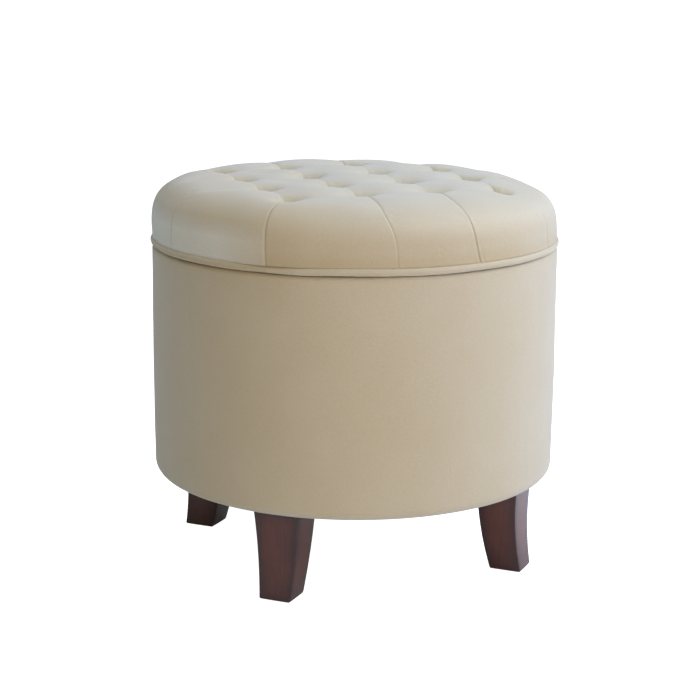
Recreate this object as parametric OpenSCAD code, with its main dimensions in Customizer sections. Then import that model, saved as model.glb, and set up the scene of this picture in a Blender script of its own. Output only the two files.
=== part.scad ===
// Round storage ottoman: an upholstered drum on four sabre legs, with a tufted lid that lifts off.
// Millimetres, +Z up, front towards -Y, origin on the floor under the centre of the drum.

/* [Drum] */
// Outside diameter of the upholstered drum
drum_d = 482.6; // [440:0.2:540]
// Height of the drum from its underside to its rim
drum_h = 276.4; // [220:0.2:340]
// Thickness of each of the two bent plywood layers of the wall
ply_t = 4; // [3:0.5:5]
// Width of the butt joint in each plywood layer
ply_joint_w = 0.5; // [0.3:0.1:1]
// Thickness of the foam wrapped round the wall
pad_t = 5; // [4:0.5:7]
// Thickness of the foam laid over the top edge of the wall
rim_pad_t = 2; // [1.5:0.5:3]
// Thickness of the velvet
velvet_t = 1.2; // [0.8:0.1:1.6]
// Radius of the drum's lower edge
edge_r = 13.5; // [11:0.5:16]
// Radius of the rim's outer edge
rim_r = 6; // [5:0.5:8]
// Radius of the rim's inner edge
rim_in_r = 2; // [1.8:0.1:3]
// Depth of the velvet turned down inside the rim
turn_down = 25; // [20:1:35]
// Width of the velvet hem turned under the base
hem_w = 22; // [18:1:30]
// Thickness of the base board
base_t = 15; // [12:1:18]
// Thickness of the dust cover under the base
dust_t = 0.8; // [0.6:0.1:1.2]
// Distance that the dust cover's edge lies in from the flat underside's edge
dust_in = 4; // [2:0.5:6]

/* [Storage space] */
// Thickness of the card-backed lining round the inside of the wall
lining_t = 1.2; // [0.8:0.1:1.6]
// Distance from the rim down to the top of that lining
lining_drop = 18; // [16:1:19]
// Thickness of the loose floor panel
floor_t = 3; // [2:0.5:5]
// Thickness of the cloth on the floor panel
floor_cloth_t = 0.8; // [0.6:0.1:1.2]

/* [Lid] */
// Distance that the cushion's side stands in from the line of the drum's wall
lid_in = 0.3; // [0:0.1:1.5]
// Height of the lid from the drum's rim to the crest of its cushion
lid_h = 79; // [65:1:100]
// Thickness of the plywood board in the lid
lid_board_t = 12; // [9:1:18]
// Thickness of the lining under the lid
under_t = 1; // [0.8:0.1:1.4]
// Distance that this lining's edge laps over the plywood of the rim
under_lap = 4; // [1:0.5:6]
// Gap between the rim and the lid's underside
lid_gap = 0.3; // [0.2:0.1:0.6]
// How square the cushion's plan fall-off is, as the power on the radius
dome_n = 6.5; // [4:0.1:8]
// How square the cushion's shoulder is, as the power on the height
dome_m = 4.3; // [3:0.1:5]
// Height of the locating ring under the lid
ring_h = 14; // [10:1:16]
// Radial width of the locating ring
ring_w = 14; // [10:1:20]
// Clearance all round between the locating ring and the rim
ring_clear = 2.6; // [1.5:0.1:5]

/* [Tufting] */
// Distance from a corner tuft out to the cushion's side
tuft_margin = 56.5; // [50:0.5:75]
// Depth of a tuft below the crest
tuft_depth = 15; // [8:1:20]
// Share of the tuft depth that the folds between tufts keep
fold_share = 0.4; // [0.2:0.05:0.6]
// Share of the fold's depth that is left at the lid's lower edge
fold_end = 0.15; // [0:0.05:0.4]
// Diameter of the twine that holds a tuft
twine_d = 1.6; // [1:0.1:2.4]
// Diameter of the washer that anchors the twine under the board
anchor_d = 14; // [10:1:20]
// Thickness of that washer
anchor_t = 0.9; // [0.6:0.1:1]

/* [Welt] */
// Diameter of the covered welt round the lid's lower edge
welt_d = 9.4; // [8:0.2:11]
// Distance that the welt stands proud of the drum's wall
welt_over = 2; // [0:0.5:4]
// Diameter of the filler cord in the welt
welt_cord_d = 6.8; // [5:0.1:7]
// Width of the welt's flange stapled under the board
flange_w = 28; // [24:1:30]

/* [Legs] */
// Height of the drum's underside above the floor
leg_h = 105.8; // [80:0.2:150]
// Distance from the drum's wall to the outer face of a leg at its top
leg_inset = 20.6; // [18:0.1:40]
// Radial depth of a leg at its top
leg_top_d = 49.4; // [40:0.2:56]
// Width of a leg at its top
leg_top_w = 56.2; // [48:0.2:64]
// Radial depth of a leg at its foot
foot_d = 38.2; // [30:0.2:44]
// Width of a leg at its foot
foot_w = 38; // [32:0.5:48]
// Distance that the outer face sweeps outwards from top to foot
foot_flare = 4.6; // [0:0.1:14]
// Distance that a leg bows inwards halfway down
leg_bow = 4; // [0:0.1:6]

/* [Fixings] */
// Diameter of the hanger bolt in each leg
bolt_d = 8; // [6:1:10]
// Length of the hanger bolt inside the leg
bolt_in_leg = 32; // [24:1:45]
// Diameter of the tee nut's flange
nut_flange_d = 24; // [20:1:28]
// Thickness of the tee nut's flange
nut_flange_t = 1.6; // [1.2:0.1:2.5]
// Outside diameter of the tee nut's barrel
nut_barrel_d = 10.6; // [10.6:0.1:13]
// Diameter of the dowel that stops a leg turning
dowel_d = 8; // [6:1:10]
// Length of that dowel
dowel_l = 24; // [18:1:30]
// Distance from the bolt to the dowel
dowel_off = 17; // [15:0.5:18]
// Diameter of the nylon glide under each leg
glide_d = 22; // [18:1:26]
// Thickness of the glide
glide_t = 2; // [1.5:0.5:4]
// Diameter of the nail that holds a glide
nail_d = 2.2; // [1.6:0.1:3]
// Length of that nail
nail_l = 16; // [10:1:25]
// Number of screws through the wall into the edge of the base board
wall_screws_n = 8; // [6:1:12]
// Diameter of those screws
wall_screw_d = 3.5; // [3:0.5:4]
// Length of those screws
wall_screw_l = 32; // [25:1:40]
// Number of screws that hold the locating ring
ring_screws_n = 6; // [4:1:8]
// Diameter of those screws
ring_screw_d = 4; // [3:0.5:5]
// Depth that those screws reach into the lid board
ring_screw_bite = 8; // [5:1:8]
// Length of a staple's crown
staple_l = 10; // [8:1:13]
// Width of a staple's wire
staple_w = 1.2; // [0.8:0.1:1.6]
// Thickness of a staple's wire
staple_t = 0.6; // [0.4:0.1:0.8]
// Distance from the edge of the cloth or the ring in to a staple
staple_in = 4; // [3:0.5:6]
// Number of staples in each quarter of the underside
base_staples_n = 5; // [3:1:7]
// Number of staples round the lid's lining
lid_staples_n = 24; // [12:1:36]

/* [Hidden] */
$fn = 96;
// Glue line between two layers, and the clearance of a loose twine or nail in its hole
glue = 0.1;
// Extra length of a cutting tool past the face that it cuts
past = 1;
// Gap between two pieces where one rests beside or on the other
seat_gap = 0.2;
// Smallest thickness of foam left outside the wall's lower corner
corner_pad = 1;
// Turn of the wall screws and of the ring screws from the +X side, clear of the legs' bolts
wall_screw_turn = 22.5;
ring_screw_turn = 15;

// Radii of the drum's layers, from the outside in
drum_r = drum_d / 2;
pad_out_r = drum_r - velvet_t - glue;
wall_out_r = pad_out_r - pad_t - glue;
ply_mid_r = wall_out_r - ply_t;
ply_in_out_r = ply_mid_r - glue;
wall_in_r = ply_in_out_r - ply_t;
turn_out_r = wall_in_r - glue;
turn_in_r = turn_out_r - velvet_t;
lining_out_r = turn_in_r - glue;
lining_in_r = lining_out_r - lining_t;
board_r = wall_in_r - glue;
flat_r = drum_r - edge_r;

// Heights of the drum's layers
cover_z = leg_h + dust_t;
base_z = cover_z + velvet_t;
base_top_z = base_z + base_t;
floor_z = base_top_z + glue;
floor_top_z = floor_z + floor_t;
rim_z = leg_h + drum_h;
wall_top_z = rim_z - velvet_t - rim_pad_t - 2 * glue;
pad_edge_r = edge_r - velvet_t - glue;
corner_x = wall_out_r - flat_r;
wall_z = cover_z + edge_r - sqrt(max(0, pow(pad_edge_r - corner_pad, 2) - corner_x * corner_x));
pad_end_r = max(flat_r, board_r + 0.5);
board_chamfer = max(0.5, board_r - flat_r + 1);
screw_z = (wall_z + base_top_z) / 2;
lining_top_z = rim_z - lining_drop;

// Heights and radii of the lid
lid_z = rim_z + lid_gap;
flange_z = lid_z + under_t;
lid_board_z = flange_z + velvet_t;
lid_board_top_z = lid_board_z + lid_board_t;
welt_r = welt_d / 2;
welt_z = lid_z + welt_r;
welt_ring_r = drum_r + welt_over - welt_r;
lid_board_r = welt_ring_r - welt_r - seat_gap;
lid_r = drum_r - lid_in;
cushion_z = welt_z + welt_r + seat_gap;
cushion_h = rim_z + lid_h - cushion_z;
ring_out_r = turn_in_r - ring_clear;
ring_mid_r = ring_out_r - ring_w / 2;
under_r = wall_in_r + under_lap;

// Legs
leg_top_r = drum_r - leg_inset;
leg_mid_r = leg_top_r - leg_top_d / 2;
foot_mid_r = leg_top_r + foot_flare - foot_d / 2;
leg_angles = [-45, 45, 135, 225];
leg_steps = 12;

// Tufts: four rows of four
tuft_rows = 4;
half_rows = (tuft_rows - 1) / 2;
field = (lid_r - tuft_margin) / sqrt(2);
tuft_pitch = field / half_rows;
tufts = [for (i = [0:tuft_rows - 1]) for (j = [0:tuft_rows - 1]) [i - half_rows, j - half_rows] * tuft_pitch];
tuft_hole_d = twine_d + 2 * seat_gap;

// The cushion's net: a square of cells over the tufts, then rings of cells out to the lower edge
cell_n = 6;
net_n = (tuft_rows - 1) * cell_n;
rings_n = 8;
ring_pts_n = 4 * net_n;
net_pts_n = (net_n + 1) * (net_n + 1);

// ---- helpers ----

// Points along an arc in the radius-height plane
function arc(r, z, rad, from, to, n = 8) =
    [for (i = [0:n]) let (a = from + (to - from) * i / n) [r + rad * cos(a), z + rad * sin(a)]];

// Places a child at each leg; angle 0 is the front and the child's +X points away from the centre
module at_legs(which = [0, 1, 2, 3]) {
    for (k = which)
        rotate([0, 0, leg_angles[k] - 90])
            children();
}

// Places n copies of a child evenly round the axis
module around(n, start = 0) {
    for (k = [0:n - 1])
        rotate([0, 0, start + 360 * k / n])
            children();
}

// A tube about the Z axis
module tube(out_r, in_r, z, h) {
    rotate_extrude()
        translate([in_r, z])
            square([out_r - in_r, h]);
}

// ---- drum ----

// Shape of one wall screw, head flush with the wall's outside; grow widens it into its own hole
module wall_screw(grow = 0) {
    d = wall_screw_d + 2 * grow;
    translate([wall_out_r, 0, screw_z])
        rotate([0, -90, 0]) {
            cylinder(d = d, h = wall_screw_l + grow);
            translate([0, 0, -grow])
                cylinder(d1 = 2 * d + 2 * grow, d2 = d, h = d / 2 + grow);
        }
}

module wall_screw_holes() {
    around(wall_screws_n, wall_screw_turn)
        wall_screw(glue / 2);
}

// One bent plywood layer, with its butt joint on the +Y side or the -Y side
module ply_layer(out_r, side) {
    difference() {
        tube(out_r, out_r - ply_t, wall_z, wall_top_z - wall_z);
        translate([-ply_joint_w / 2, side > 0 ? 0 : -drum_r, wall_z - past])
            cube([ply_joint_w, drum_r, drum_h]);
        wall_screw_holes();
    }
}

module inner_wall_ply() {
    color("burlywood")
        ply_layer(ply_in_out_r, -1);
}

module outer_wall_ply() {
    color("tan")
        ply_layer(wall_out_r, 1);
}

module wall_screws() {
    color("silver")
        around(wall_screws_n, wall_screw_turn)
            wall_screw();
}

module base_board() {
    color("burlywood")
        difference() {
            rotate_extrude()
                polygon([[0, base_z], [board_r - board_chamfer, base_z], [board_r, base_z + board_chamfer],
                    [board_r, base_top_z], [0, base_top_z]]);
            at_legs() {
                translate([leg_mid_r, 0, base_z - past])
                    cylinder(d = nut_barrel_d + 2 * glue, h = base_t + 2 * past);
                translate([leg_mid_r, 0, base_top_z - nut_flange_t])
                    cylinder(d = nut_flange_d + 2 * glue, h = nut_flange_t + past);
                translate([leg_mid_r, dowel_off, base_z - past])
                    cylinder(d = dowel_d + 2 * glue, h = dowel_l / 2 + glue + past - (base_z - leg_h));
            }
            wall_screw_holes();
        }
}

// Foam wrapped round the wall, over its top edge and under its lower edge
module wall_padding() {
    top = rim_z - velvet_t - glue;
    end_angle = -acos((pad_end_r - flat_r) / pad_edge_r);
    color("ivory")
        rotate_extrude()
            polygon(concat(
                [[wall_in_r + rim_in_r, top - rim_pad_t], [wall_in_r + rim_in_r, top]],
                arc(drum_r - rim_r, rim_z - rim_r, rim_r - velvet_t - glue, 90, 0),
                arc(flat_r, cover_z + edge_r, pad_edge_r, 0, end_angle),
                [[pad_end_r, wall_z - glue], [wall_out_r + glue, wall_z - glue],
                    [wall_out_r + glue, top - rim_pad_t]]));
}

// Velvet: down inside the rim, over it, down the wall and under the base
module wall_cover() {
    color("wheat")
        rotate_extrude()
            polygon(concat(
                [[turn_in_r, rim_z - turn_down]],
                arc(turn_in_r + rim_in_r, rim_z - rim_in_r, rim_in_r, 180, 90, 4),
                arc(drum_r - rim_r, rim_z - rim_r, rim_r, 90, 0),
                arc(flat_r, cover_z + edge_r, edge_r, 0, -90),
                [[flat_r - hem_w, cover_z], [flat_r - hem_w, base_z]],
                arc(flat_r, cover_z + edge_r, edge_r - velvet_t, -90, 0),
                arc(drum_r - rim_r, rim_z - rim_r, rim_r - velvet_t, 0, 90),
                arc(turn_in_r + rim_in_r, rim_z - rim_in_r, rim_in_r - velvet_t, 90, 180, 4),
                [[turn_out_r, rim_z - turn_down]]));
}

module storage_lining() {
    color("dimgray")
        tube(lining_out_r, lining_in_r, floor_z, lining_top_z - floor_z);
}

module floor_panel() {
    color("peru")
        translate([0, 0, floor_z])
            cylinder(r = lining_in_r - glue, h = floor_t);
}

module floor_cloth() {
    color("dimgray")
        translate([0, 0, floor_top_z])
            cylinder(r = lining_in_r - glue, h = floor_cloth_t);
}

module dust_cover() {
    color("black")
        difference() {
            translate([0, 0, leg_h])
                cylinder(r = flat_r - dust_in, h = dust_t);
            at_legs() {
                translate([leg_mid_r, 0, leg_h - past])
                    cylinder(d = bolt_d + 2 * glue, h = dust_t + 2 * past);
                translate([leg_mid_r, dowel_off, leg_h - past])
                    cylinder(d = dowel_d + 2 * glue, h = dust_t + 2 * past);
            }
        }
}

// Staple crowns in the four arcs between the legs
module base_staples() {
    leg_arc = atan((leg_top_w / 2 + staple_l) / leg_top_r);
    span = 90 - 2 * leg_arc;
    color("silver")
        for (q = [0:3])
            for (k = [0:base_staples_n - 1])
                rotate([0, 0, 90 * q - span / 2 + span * k / (base_staples_n - 1)])
                    translate([flat_r - dust_in - staple_in, -staple_l / 2, leg_h - staple_t])
                        cube([staple_w, staple_l, staple_t]);
}

// ---- legs ----

// Share of a leg's length that lies above a height, and how far the leg bows inwards there
function sweep(z) = 1 - z / leg_h;
function bow(z) = 4 * leg_bow * sweep(z) * (1 - sweep(z));

// Side outline of a leg: the outer face from top to foot, then the inner face back up
leg_outline = concat(
    [for (i = [leg_steps:-1:0]) let (z = glide_t + (leg_h - glide_t) * i / leg_steps)
        [leg_top_r + foot_flare * sweep(z) - bow(z), z]],
    [for (i = [0:leg_steps]) let (z = glide_t + (leg_h - glide_t) * i / leg_steps)
        [leg_top_r - leg_top_d + (foot_flare + leg_top_d - foot_d) * sweep(z) - bow(z), z]]);

// One leg at its place on the +X side, before it is turned to its corner
module leg_blank() {
    widest = max(leg_top_w, foot_w);
    difference() {
        intersection() {
            translate([0, widest / 2, 0])
                rotate([90, 0, 0])
                    linear_extrude(widest)
                        polygon(leg_outline);
            rotate([90, 0, 90])
                linear_extrude(drum_r + 2 * foot_flare)
                    polygon([[-foot_w / 2, 0], [foot_w / 2, 0], [leg_top_w / 2, leg_h], [-leg_top_w / 2, leg_h]]);
        }
        translate([leg_mid_r, 0, leg_h - bolt_in_leg - glue])
            cylinder(d = bolt_d + 2 * glue, h = bolt_in_leg + past);
        translate([leg_mid_r, dowel_off, leg_h - dowel_l / 2 - glue])
            cylinder(d = dowel_d + 2 * glue, h = dowel_l);
        translate([foot_mid_r, 0, 0])
            cylinder(d = nail_d + 2 * glue, h = nail_l + 2 * glue);
    }
}

module leg_front_left() {
    color("#4a2a24")
        at_legs([0])
            leg_blank();
}

module leg_front_right() {
    color("#4a2a24")
        at_legs([1])
            leg_blank();
}

module leg_back_right() {
    color("#4a2a24")
        at_legs([2])
            leg_blank();
}

module leg_back_left() {
    color("#4a2a24")
        at_legs([3])
            leg_blank();
}

module leg_bolts() {
    color("silver")
        at_legs()
            translate([leg_mid_r, 0, leg_h - bolt_in_leg])
                cylinder(d = bolt_d, h = bolt_in_leg + base_top_z - leg_h - glue);
}

module tee_nuts() {
    color("gold")
        at_legs()
            difference() {
                union() {
                    translate([leg_mid_r, 0, base_z + base_t / 3])
                        cylinder(d = nut_barrel_d, h = 2 * base_t / 3);
                    translate([leg_mid_r, 0, base_top_z - nut_flange_t])
                        cylinder(d = nut_flange_d, h = nut_flange_t);
                }
                translate([leg_mid_r, 0, base_z])
                    cylinder(d = bolt_d + glue, h = base_t + past);
            }
}

module leg_dowels() {
    color("burlywood")
        at_legs()
            translate([leg_mid_r, dowel_off, leg_h - dowel_l / 2])
                cylinder(d = dowel_d, h = dowel_l);
}

module leg_glides() {
    color("dimgray")
        at_legs()
            difference() {
                translate([foot_mid_r, 0, 0])
                    cylinder(d = glide_d, h = glide_t);
                translate([foot_mid_r, 0, glide_t / 2])
                    cylinder(d = nail_d + 2 * glue, h = glide_t);
            }
}

module glide_nails() {
    color("silver")
        at_legs()
            translate([foot_mid_r, 0, glide_t / 2 + glue])
                cylinder(d = nail_d, h = nail_l - glide_t / 2);
}

// ---- lid ----

// How far a point between two tuft lines has risen from them: 0 on a line, 1 halfway
function puff(u) = abs(sin(180 * (u + half_rows)));

// Depth below the dome from two rises, one for each direction across the cushion
function dip(a, b) = tuft_depth * (1 - fold_share * pow(a * b, 0.8) - (1 - fold_share) * (1 - (1 - a) * (1 - b)));

// Share of the way from the tufts' border to the lower edge, eased so that the cells keep an even size
function ease(t) = 1 - pow(1 - pow(t, 1.7), dome_m);

// Angle at which a fold that leaves a tuft at border place tau (-1 to 1) meets the lower edge:
// folds from the inner tufts run straight out and those from the corner tufts at 45 degrees
in_angle = asin(tuft_pitch / 2 / lid_r);
lin = (27 * in_angle - 45) / 8;
function edge_angle(tau) = lin * tau + (45 - lin) * pow(tau, 3);

// The dome at a plan point, moved inwards along its own normal by depth
function on_dome(p, depth) =
    let (r = max(0.001, norm(p)))
    let (u = min(1, r / lid_r))
    let (k = pow(max(0, 1 - pow(u, dome_n)), 1 / dome_m))
    let (g = [dome_n / lid_r * pow(u, dome_n - 1), dome_m / cushion_h * pow(k, dome_m - 1)])
    let (n = g / norm(g))
    [p[0] * (1 - depth * n[0] / r), p[1] * (1 - depth * n[0] / r), cushion_z + k * cushion_h - depth * n[1]];

// A point of the square part of the net
function net_pt(i, j, inset) =
    let (u = i / cell_n - half_rows)
    let (v = j / cell_n - half_rows)
    on_dome([u, v] * tuft_pitch, inset + dip(puff(u), puff(v)));

// A point of ring k of the net; q counts round the ring from the corner at +X -Y
function ring_pt(k, q, inset) =
    let (t = k / rings_n)
    let (side = floor(q / net_n))
    let (tau = 2 * (q - side * net_n) / net_n - 1)
    let (from = [field, tau * field])
    let (to = lid_r * [cos(edge_angle(tau)), sin(edge_angle(tau))])
    let (p = from + (to - from) * ease(t))
    let (a = sin(90 * min(1, norm(p - from) / (tuft_pitch / 2))))
    let (fade = 1 - (1 - fold_end) * t)
    let (c = cos(90 * side))
    let (s = sin(90 * side))
    on_dome([c * p[0] - s * p[1], s * p[0] + c * p[1]], inset + fade * dip(a, puff(half_rows * tau)));

function net(inset) = concat(
    [for (i = [0:net_n]) for (j = [0:net_n]) net_pt(i, j, inset)],
    [for (k = [1:rings_n]) for (q = [0:ring_pts_n - 1]) ring_pt(k, q, inset)]);

// Index of point q of ring k; ring 0 is the border of the square part
function border(q) =
    let (side = floor(q / net_n))
    let (m = q - side * net_n)
    let (ij = side == 0 ? [net_n, m] : side == 1 ? [net_n - m, net_n] : side == 2 ? [0, net_n - m] : [m, 0])
    ij[0] * (net_n + 1) + ij[1];
function at(k, q) =
    let (w = q % ring_pts_n)
    k == 0 ? border(w) : net_pts_n + (k - 1) * ring_pts_n + w;

// Two triangles from four corners; up faces them outwards, and down turns them over
function up(a, b, c, d) = [[c, b, a], [d, c, a]];
function flip(f) = [for (t = f) [t[2], t[1], t[0]]];
function shift(f, by) = [for (t = f) [for (v = t) v + by]];
top_faces = concat(
    [for (i = [0:net_n - 1]) for (j = [0:net_n - 1])
        for (f = up(i * (net_n + 1) + j, (i + 1) * (net_n + 1) + j,
            (i + 1) * (net_n + 1) + j + 1, i * (net_n + 1) + j + 1)) f],
    [for (k = [0:rings_n - 1]) for (q = [0:ring_pts_n - 1])
        for (f = up(at(k, q), at(k + 1, q), at(k + 1, q + 1), at(k, q + 1))) f]);
all_pts_n = net_pts_n + rings_n * ring_pts_n;

// Velvet over the cushion, an even shell with its lower edge on the welt
module lid_cover() {
    lip = [for (q = [0:ring_pts_n - 1])
        for (f = up(at(rings_n, q), at(rings_n, q) + all_pts_n,
            at(rings_n, q + 1) + all_pts_n, at(rings_n, q + 1))) f];
    color("wheat")
        polyhedron(concat(net(0), net(velvet_t)), concat(top_faces, shift(flip(top_faces), all_pts_n), lip));
}

// Foam under the velvet, rolled over the edge of the lid board
module lid_foam() {
    under = [[for (q = [0:ring_pts_n - 1]) at(rings_n, q)]];
    color("ivory")
        difference() {
            polyhedron(net(velvet_t + 2 * glue), concat(top_faces, under));
            translate([0, 0, lid_z])
                cylinder(r = lid_board_r + glue, h = lid_board_top_z + glue - lid_z);
            for (p = tufts)
                translate([p[0], p[1], lid_z])
                    cylinder(d = tuft_hole_d, h = lid_h, $fn = 24);
        }
}

module lid_board() {
    color("burlywood")
        difference() {
            translate([0, 0, lid_board_z])
                cylinder(r = lid_board_r, h = lid_board_t);
            for (p = tufts)
                translate([p[0], p[1], lid_board_z - past])
                    cylinder(d = tuft_hole_d, h = lid_board_t + 2 * past);
            around(ring_screws_n, ring_screw_turn)
                ring_screw(glue / 2);
        }
}

// Twine from each tuft down through the foam and the board to its anchor
module tuft_twines() {
    color("linen")
        for (p = tufts) {
            top = on_dome(p, velvet_t + tuft_depth + 2 * glue)[2];
            low = lid_board_z - anchor_t - glue;
            translate([p[0], p[1], low])
                cylinder(d = twine_d, h = top - low);
        }
}

module tuft_anchors() {
    color("white")
        for (p = tufts)
            difference() {
                translate([p[0], p[1], lid_board_z - anchor_t - glue])
                    cylinder(d = anchor_d, h = anchor_t);
                translate([p[0], p[1], flange_z])
                    cylinder(d = twine_d + 2 * glue, h = lid_board_t);
            }
}

// Velvet tube of the welt, with the flange that is stapled under the board
module welt_cover() {
    color("wheat")
        difference() {
            rotate_extrude()
                difference() {
                    union() {
                        translate([welt_ring_r, welt_z])
                            circle(d = welt_d);
                        translate([lid_board_r - flange_w, flange_z])
                            square([flange_w + welt_r / 2, velvet_t]);
                    }
                    translate([welt_ring_r, welt_z])
                        circle(d = welt_cord_d + 2 * glue);
                }
            around(ring_screws_n, ring_screw_turn)
                ring_screw(glue / 2);
        }
}

module welt_cord() {
    color("white")
        rotate_extrude()
            translate([welt_ring_r, welt_z])
                circle(d = welt_cord_d);
}

module lid_lining() {
    color("dimgray")
        difference() {
            translate([0, 0, lid_z])
                cylinder(r = under_r, h = under_t);
            around(ring_screws_n, ring_screw_turn)
                ring_screw(glue / 2);
        }
}

// Staple crowns round the lid's lining, between the locating ring and the rim's inner edge
module lid_staples() {
    color("silver")
        around(lid_staples_n)
            translate([ring_out_r - ring_w - staple_in, -staple_l / 2, lid_z - staple_t])
                cube([staple_w, staple_l, staple_t]);
}

module locating_ring() {
    color("peru")
        difference() {
            tube(ring_out_r, ring_out_r - ring_w, lid_z - ring_h, ring_h);
            around(ring_screws_n, ring_screw_turn)
                ring_screw(glue / 2);
        }
}

// Shape of one ring screw, head flush with the ring's lower face
module ring_screw(grow = 0) {
    d = ring_screw_d + 2 * grow;
    length = ring_h + lid_board_z - lid_z + ring_screw_bite;
    translate([ring_mid_r, 0, lid_z - ring_h]) {
        cylinder(d = d, h = length + grow);
        translate([0, 0, -grow])
            cylinder(d1 = 2 * d + 2 * grow, d2 = d, h = d / 2 + grow);
    }
}

module ring_screws() {
    color("silver")
        around(ring_screws_n, ring_screw_turn)
            ring_screw();
}

base_board();
inner_wall_ply();
outer_wall_ply();
wall_screws();
wall_padding();
wall_cover();
storage_lining();
floor_panel();
floor_cloth();
dust_cover();
base_staples();
leg_front_left();
leg_front_right();
leg_back_left();
leg_back_right();
leg_bolts();
tee_nuts();
leg_dowels();
leg_glides();
glide_nails();
lid_board();
lid_foam();
lid_cover();
tuft_twines();
tuft_anchors();
welt_cover();
welt_cord();
lid_lining();
lid_staples();
locating_ring();
ring_screws();
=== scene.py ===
import math
import bpy
import numpy as np
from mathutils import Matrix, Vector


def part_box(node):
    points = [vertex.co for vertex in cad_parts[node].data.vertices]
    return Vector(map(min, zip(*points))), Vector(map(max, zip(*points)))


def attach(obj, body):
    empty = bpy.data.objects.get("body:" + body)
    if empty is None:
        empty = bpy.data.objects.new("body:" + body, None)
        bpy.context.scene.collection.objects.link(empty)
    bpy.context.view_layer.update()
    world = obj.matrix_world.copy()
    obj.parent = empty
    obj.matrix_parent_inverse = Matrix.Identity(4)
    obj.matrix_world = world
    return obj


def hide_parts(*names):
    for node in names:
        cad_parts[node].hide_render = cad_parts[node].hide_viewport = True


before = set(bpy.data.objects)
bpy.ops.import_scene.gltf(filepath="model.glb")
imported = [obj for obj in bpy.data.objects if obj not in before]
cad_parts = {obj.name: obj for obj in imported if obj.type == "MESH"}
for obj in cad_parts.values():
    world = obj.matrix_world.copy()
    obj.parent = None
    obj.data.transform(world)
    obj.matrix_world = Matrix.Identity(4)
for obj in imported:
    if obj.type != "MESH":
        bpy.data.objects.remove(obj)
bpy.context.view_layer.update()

print("packed model loaded:", len(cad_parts), "nodes")

scene = bpy.context.scene
mm = 0.001
clearance = 0.1 * mm   # between one piece and the next


def toLinear(code):
    # sRGB hex, turned to the linear colour that a socket takes
    parts = np.array([int(code[i:i + 2], 16) for i in (1, 3, 5)]) / 255
    linear = np.where(parts <= 0.04045, parts / 12.92, ((parts + 0.055) / 1.055) ** 2.4)
    return (*linear.tolist(), 1.0)


def addNode(tree, kind, sockets=None, **settings):
    # sockets gives each input a value or another node's output; settings are the node's own properties
    node = tree.nodes.new(kind)
    for name, value in settings.items():
        setattr(node, name, value)
    for name, value in (sockets or {}).items():
        if isinstance(value, bpy.types.NodeSocket):
            tree.links.new(value, node.inputs[name])
        else:
            node.inputs[name].default_value = value
    return node


def startFinish(name, sockets):
    # a Principled material with its constant sockets, its tree, and the place that its patterns are read at
    material = bpy.data.materials.new(name)
    material.use_nodes = True
    tree = material.node_tree
    for socket, value in sockets.items():
        tree.nodes["Principled BSDF"].inputs[socket].default_value = value
    return material, tree, addNode(tree, "ShaderNodeTexCoord").outputs["Object"]


def endFinish(material, sockets):
    # links what the pattern nodes give to the Principled shader
    tree = material.node_tree
    for socket, value in sockets.items():
        tree.links.new(value, tree.nodes["Principled BSDF"].inputs[socket])
    return material


def addObject(name, data):
    thing = bpy.data.objects.new(name, data)
    scene.collection.objects.link(thing)
    return thing


# Camera: a little above the lid and left of the front, on a long lens
cameraSettings = {
    "place": (-0.81, -2.03, 0.7473), "turn": -21.845, "down": 12.859, "roll": 0.437,
    "lens": 94.9, "sensor": 36, "shift": (-0.01, -0.001), "farthest": 100,
}


def makeCamera(s):
    camera = addObject("camera", bpy.data.cameras.new("camera"))
    camera.location = s["place"]
    camera.rotation_euler = (math.radians(90 - s["down"]), 0, math.radians(s["turn"]))
    camera.rotation_euler.rotate_axis("Z", math.radians(s["roll"]))
    camera.data.lens = s["lens"]
    camera.data.sensor_width = s["sensor"]
    camera.data.shift_x, camera.data.shift_y = s["shift"]
    camera.data.clip_end = s["farthest"]
    scene.camera = camera


makeCamera(cameraSettings)
print("camera set")


# Short-pile velvet, cut and brushed: deep and warm face on, pale and cool where the eye grazes the pile,
# with broad faint marks where hands have laid it over. The grain is twice as coarse as real, so that it shows
velvetSettings = {
    "laidDownAndShade": "#AE9B6B", "brushedUpAndLit": "#D1D0BA", "markSize": 90 * mm, "marks": 0.12,
    "crushSize": 9 * mm, "crushHeight": 0.25 * mm, "grainSize": 1.5 * mm, "grainHeight": 0.10 * mm,
    "sheen": 0.35, "sheenRoughness": 0.6, "sheenTint": "#E7F1FF",
}


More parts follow.
